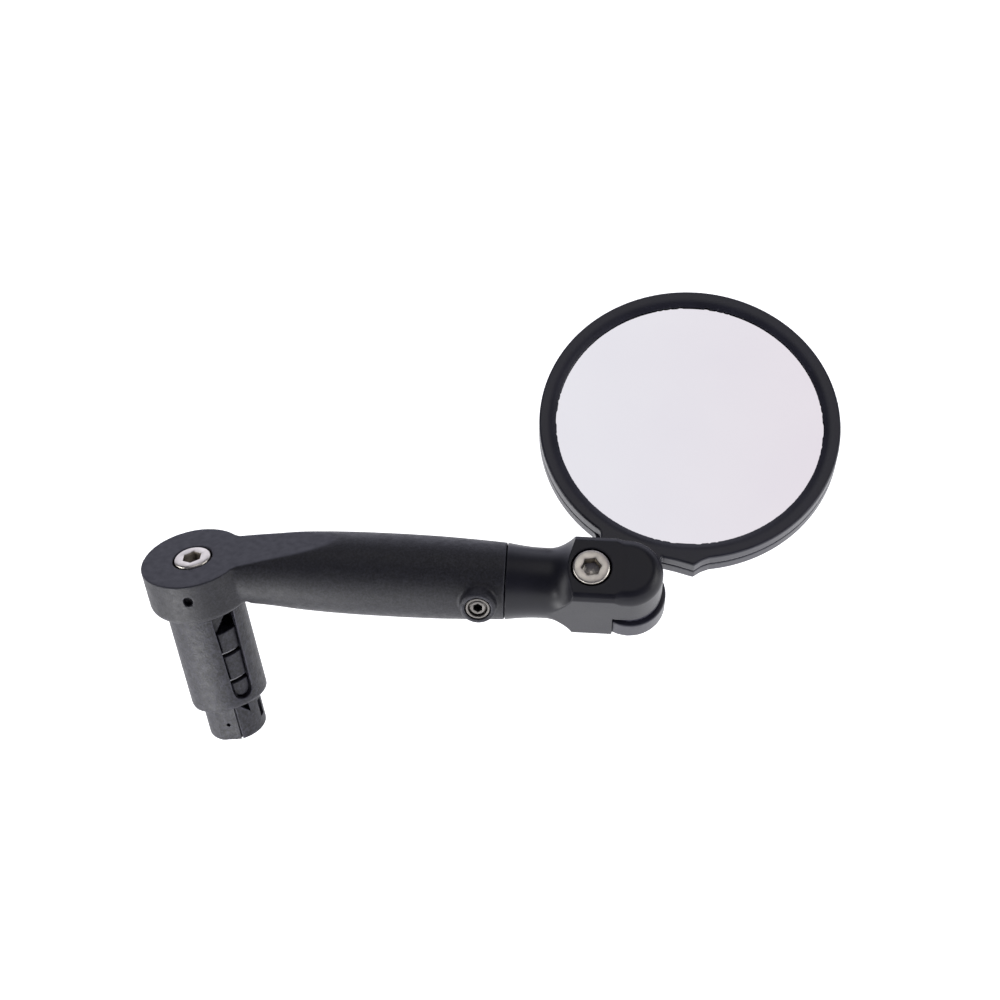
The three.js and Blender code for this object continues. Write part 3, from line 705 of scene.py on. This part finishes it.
def neck_field(s, u, n):
    radial = np.hypot(u, n)
    spigot = rmax(radial - SPIGOT_RADIUS, slab(s, 42, 72), 0.4)
    spigot = cut(spigot, np.maximum(np.abs(s - GRUB_ALONG) - 1.6, GROOVE_RADIUS - radial), 0.1)
    t = np.clip((s - 71.4) / 7.6, 0, 1)
    neck = radial - (NECK_RADIUS - NECK_TAPER * np.sin(t * math.pi / 2))
    neck = rmax(neck, slab(s, NECK_START, 92), 0.2)
    # the block: a square section that flares out of the neck through a large fillet
    outline = np.hypot(np.maximum(s - FOLD + 0.7, 0), u) - HALF
    front = rmax(outline, n - FRONT, 0.35)
    front = rmax(front, (outline + n - FRONT + 1.9) * math.sqrt(0.5), 0.8)
    cheek = rmax(front, -0.6 - n, 0.15)
    side = rmax(np.abs(u) - HALF, slab(n, BACK, 3.0), 0.3)
    rear = np.maximum(side, np.where(u < 0, s - (FOLD - 1), s - (FOLD - 8.6)))
    solid = np.maximum(np.minimum(side, front), s - (FOLD - 8.6))
    block = rmax(np.minimum(np.minimum(solid, cheek), rear), FLARE_WALL - s)
    flare = rmin(np.maximum(radial - HALF, slab(s, 78, 92)), block, FLARE_RADIUS)
    flare = rmax(flare, np.maximum(np.abs(u) - HALF, slab(n, BACK, FRONT)), 0.12)
    body = np.minimum(np.minimum(neck, flare), spigot)
    axis = np.hypot(s - FOLD, u)
    lock = np.hypot(s - LOCK_ALONG, u)
    body = cut(body, np.maximum(axis - 8.48, n + 0.6), 0.15)
    body = cut(body, np.maximum(axis - 7.1, n))
    body = cut(body, np.maximum(axis - 3.6, n - 6.6))
    body = cut(body, np.maximum(lock - 4.6, 4.85 - n), 0.22)
    body = cut(body, np.maximum(lock - 3.6, slab(n, -0.6, 6.0)))
    return cut(body, np.maximum(lock - 1.9, slab(n, -3.4, 6.0)))


moulded("neck_moulding", neck_field, (42, -8.8, -9.1), (107.3, 8.8, 10.1), 0.32, NECK, SATIN_NECK,
        "neck", "swivel_neck")

LOCK_TOP = FRONT + 0.15
LOCK_SEAT = LOCK_TOP - 5.0
turned("lock_set_screw", [
    (0.5, -2.8), (1.1, -2.8), (1.4, -2.4), (1.4, -0.4), (2.3, 0.1)]
    + thread(M5_SHANK, M5_DEPTH, M5_PITCH, 0.2, 4.6, SCREW_COUNT)
    + [(M5_SHANK, LOCK_SEAT)] + head_rings(LOCK_TOP, LOCK_SEAT)
    + socket(M5_KEY, LOCK_TOP, 2.5, SCREW_COUNT, 0.35),
    LOCK, BRIGHT_STEEL, "lock", "lock_screw", SCREW_COUNT)
KNURL_COUNT = 72
turned("lock_bush", knurled(3.35, 2.7, 0.3, 4.6, KNURL_COUNT), LOCK, BRASS, "neck", "lock_insert",
       KNURL_COUNT, closed=True)
turned("pivot_bush", knurled(3.3, 2.7, 0.3, 6.3, KNURL_COUNT), HEAD, BRASS, "neck", "pivot_insert",
       KNURL_COUNT, closed=True)
FROM_BEHIND = (HEAD[0], HEAD[1] * np.array([[1], [-1], [-1]]))
turned("pivot_cap_screw", cap_screw(8.6, 2.0, 12.6, 3.0, 1.4), FROM_BEHIND, BRIGHT_STEEL,
       "neck", "pivot_screw", SCREW_COUNT)
turned("spring_washer", annulus(4.7, 2.8, -6.3, -5.7, 0.12), HEAD, SPRING_STEEL, "neck",
       "pivot_washer", closed=True)
turned("friction_washer", annulus(6.8, 3.1, -1.1, -0.3, 0.12), HEAD, ACETAL, "neck",
       "hinge_washer", closed=True)

# ---------------------------------------------------------------- mirror head
RIM_X, RIM_Y, RIM, WINDOW = 12.35, 43.85, 35.25, 31.0
GLASS_SEAT, GLASS_RADIUS = 32.7, 32.4
LUG_RADIUS, EYE_RADIUS, PIVOT_HOLE = 8.25, 7.2, 2.85
FLANGE = [(-8.0, 0.0), (-7.6, 12.2), (-9.4, 16.4), (12.7, 42.7), (17.6, 11.0), (17.3, 9.1), (14.4, 6.9),
          (7.0, 8.9), (6.4, 4.6), (0.0, -2.0)]


def outline_field(x, y, lug):
    rim = np.hypot(x - RIM_X, y - RIM_Y) - RIM
    eye = np.hypot(x, y) - lug
    flange = poly(x, y, FLANGE)
    flange = np.maximum(flange, -lug - x)
    return rmin(rmin(rim, flange, 0.8), eye, 0.6)


def bezel_field(x, y, n):
    radial = np.hypot(x - RIM_X, y - RIM_Y)
    body = rmax(outline_field(x, y, EYE_RADIUS), n + 1.4, 0.5)
    body = rmax(body, -4.6 - n, 0.3)
    body = cut(body, radial - WINDOW, 0.25)
    body = rmax(body, (n + 1.4 - (radial - 32.9) * 0.42) * 0.92, 0.3)
    body = cut(body, np.maximum(radial - GLASS_SEAT, n + 2.2))
    axis = np.hypot(x, y)
    body = cut(body, np.maximum(axis - 8.4, n + 2.9), 0.1)
    return cut(body, axis - PIVOT_HOLE, 0.1)


moulded("bezel_moulding", bezel_field, (-23, -8, -4.7), (48, 79.5, -1.3), 0.34, HEAD, SATIN_HEAD,
        "head", "mirror_bezel")


def housing_field(x, y, n):
    radial = np.hypot(x - RIM_X, y - RIM_Y)
    dome = 1.9 * np.clip(1 - (radial / 34.0) ** 2, 0, 1)
    outline = outline_field(x, y, LUG_RADIUS)
    body = rmax(outline, -(n + 8.6 + dome), 0.9)
    body = rmax(body, n + 4.9, 0.3)
    axis = np.hypot(x, y)
    body = np.minimum(body, rod(x, y, n, LUG_RADIUS, -8.9, -3.2, 0.35))
    body = cut(body, np.maximum(radial - GLASS_SEAT, -6.5 - n), 0.15)
    body = cut(body, np.maximum(axis - PIVOT_HOLE, -20 - n), 0.1)
    return cut(body, np.maximum(axis - 5.1, n + 5.4), 0.25)


moulded("housing_moulding", housing_field, (-23, -8, -10.6), (48, 79.5, -3.1), 0.42, HEAD, SATIN_HEAD,
        "head", "mirror_housing")

CENTRE = (place([[RIM_X, RIM_Y, 0.0]], HEAD)[0] / MM, HEAD[1])
GLASS_FACE, GLASS_DOME = -2.5, 0.7
glass = [(0.05, -4.4), (32.1, -4.4), (GLASS_RADIUS, -4.1), (GLASS_RADIUS, -2.75), (32.28, -2.58),
         (32.0, GLASS_FACE)]
for part in np.linspace(0.96, 0.002, 22):
    glass.append((GLASS_RADIUS * part, GLASS_FACE + GLASS_DOME * (1 - part ** 2)))
turned("glass_disc", glass, CENTRE, MIRROR, "head", "mirror_glass", 144, sharp=40)
turned("foam_disc", [(0.5, -6.2), (29.7, -6.2), (30.0, -5.9), (30.0, -5.0), (29.7, -4.7), (0.5, -4.7)],
       CENTRE, FOAM, "head", "glass_pad", 96)

# ---------------------------------------------------------------- floor, light, camera
FLOOR_SIZE = 8.0                                       # metres
HEAD_REACH = math.hypot(RIM_X, RIM_Y) + RIM + 2.0      # past the head's far edge, from the fold axis
FLOOR_Z = (fold_at[2] - HEAD_REACH) * MM               # the folded, swivelled head clears it
bpy.ops.mesh.primitive_plane_add(size=FLOOR_SIZE, location=(0, 0, FLOOR_Z))
floor = bpy.context.object
floor.name = "floor"
paper = Nodes("floor_paper")
# a painted pool of light: the paper glows most strongly in front of the plug and to its left, and the glow
# also lights the object from below
GLOW_AT = Vector((plug_at[0] * MM - 0.085, plug_at[1] * MM - 0.112, 0))
far = paper.add("ShaderNodeVectorMath", {0: paper.place, 1: GLOW_AT}, operation="DISTANCE")
floor_glow = paper.ramp(far.outputs["Value"], 0.02, 0.10, 8.5, 1.0)
paper.finish(Base_Color=(0.9, 0.9, 0.9, 1.0), Roughness=0.9, Specular_IOR_Level=0.1,
             Emission_Color=(1, 1, 1, 1), Emission_Strength=floor_glow,
             Normal=paper.bump(paper.noise(6.0), 0.02, 0.05))
floor.data.materials.append(paper.material)

# the room: dim, with a pale ceiling patch that the glass mirrors and a pale wall behind
CEILING = Vector((0.153, -0.09, 0.985)).normalized()
DIM_ROOM, PALE_WALL = (0.085, 0.085, 0.11, 1), (1.15, 1.15, 1.35, 1)
CEILING_LEFT, CEILING_RIGHT = (0.885, 0.883, 0.895, 1), (0.875, 0.83, 0.85, 1)
world = bpy.data.worlds.new("studio")
bpy.context.scene.world = world
world.use_nodes = True
world_tree = world.node_tree
background = world_tree.nodes["Background"]


def world_node(kind, inputs, **settings):
    node = world_tree.nodes.new(kind)
    for key, value in settings.items():
        setattr(node, key, value)
    for key, value in inputs.items():
        if isinstance(value, bpy.types.NodeSocket):
            world_tree.links.new(value, node.inputs[key])
        else:
            node.inputs[key].default_value = value
    return node


def world_ramp(value, low, high):
    return world_node("ShaderNodeMapRange", {"Value": value, "From Min": low, "From Max": high},
                      interpolation_type="SMOOTHSTEP").outputs["Result"]


def world_mix(factor, a, b):
    return world_node("ShaderNodeMix", {0: factor, 6: a, 7: b}, data_type="RGBA").outputs[2]


way = world_tree.nodes.new("ShaderNodeTexCoord").outputs["Generated"]
split = world_node("ShaderNodeSeparateXYZ", {0: way}).outputs
ceiling_angle = world_node("ShaderNodeVectorMath", {0: way, 1: CEILING}, operation="DOT_PRODUCT")
sky = world_mix(world_ramp(split["Y"], 0.35, 0.85), DIM_ROOM, PALE_WALL)
patch = world_mix(world_ramp(split["X"], 0.1, 0.4), CEILING_LEFT, CEILING_RIGHT)
sky = world_mix(world_ramp(ceiling_angle.outputs["Value"], 0.90, 0.965), sky, patch)
world_tree.links.new(sky, background.inputs["Color"])
background.inputs["Strength"].default_value = 1.0

TARGET = Vector((0.05, 0.01, 0.0))


def outward_from(azimuth, elevation):
    """A direction, its azimuth counted from -Y towards +X."""
    a, e = math.radians(azimuth), math.radians(elevation)
    return Vector((math.sin(a) * math.cos(e), -math.cos(a) * math.cos(e), math.sin(e)))


def softbox(name, azimuth, elevation, distance, size, power):
    """An area light aimed at the object."""
    towards = outward_from(azimuth, elevation)
    data = bpy.data.lights.new(name, "AREA")
    data.shape = "RECTANGLE"
    data.size, data.size_y = size
    data.energy = power
    o = bpy.data.objects.new(name, data)
    o.location = TARGET + towards * distance
    o.rotation_mode = "QUATERNION"
    o.rotation_quaternion = (-towards).to_track_quat("-Z", "Y")
    bpy.context.scene.collection.objects.link(o)


# azimuth and elevation in degrees, distance and size in metres, power in watts
softbox("left_box", -76, 12, 0.75, (0.45, 0.45), 2.0)
softbox("right_box", 84, 14, 0.8, (0.45, 0.45), 1.8)
softbox("front_low", -34, 2, 0.9, (0.2, 0.12), 0.9)

scene = bpy.context.scene
scene.view_settings.view_transform = "Standard"
scene.view_settings.look = "None"

# the photograph's viewing angle, in degrees, and the lens for a 36 mm wide sensor
VIEW_AZIMUTH, VIEW_ELEVATION, VIEW_ROLL = 9.43778, 31.57994, -11.45888
LENS_MM, SENSOR_MM = 95.472, 36.0
CAMERA_FROM_PLUG = np.array([154.5, -495.4, 325.4])
backward = outward_from(VIEW_AZIMUTH, VIEW_ELEVATION)
level = backward.to_track_quat("Z", "Y").to_matrix()
roll = Matrix.Rotation(math.radians(VIEW_ROLL), 3, "Z")
data = bpy.data.cameras.new("camera")
data.sensor_width, data.lens = SENSOR_MM, LENS_MM
data.clip_start, data.clip_end = 0.01, 20
camera = bpy.data.objects.new("camera", data)
camera.matrix_world = (Matrix.Translation(Vector((plug_at + CAMERA_FROM_PLUG) * MM))
                       @ (level @ roll).to_4x4())
scene.collection.objects.link(camera)
scene.camera = camera
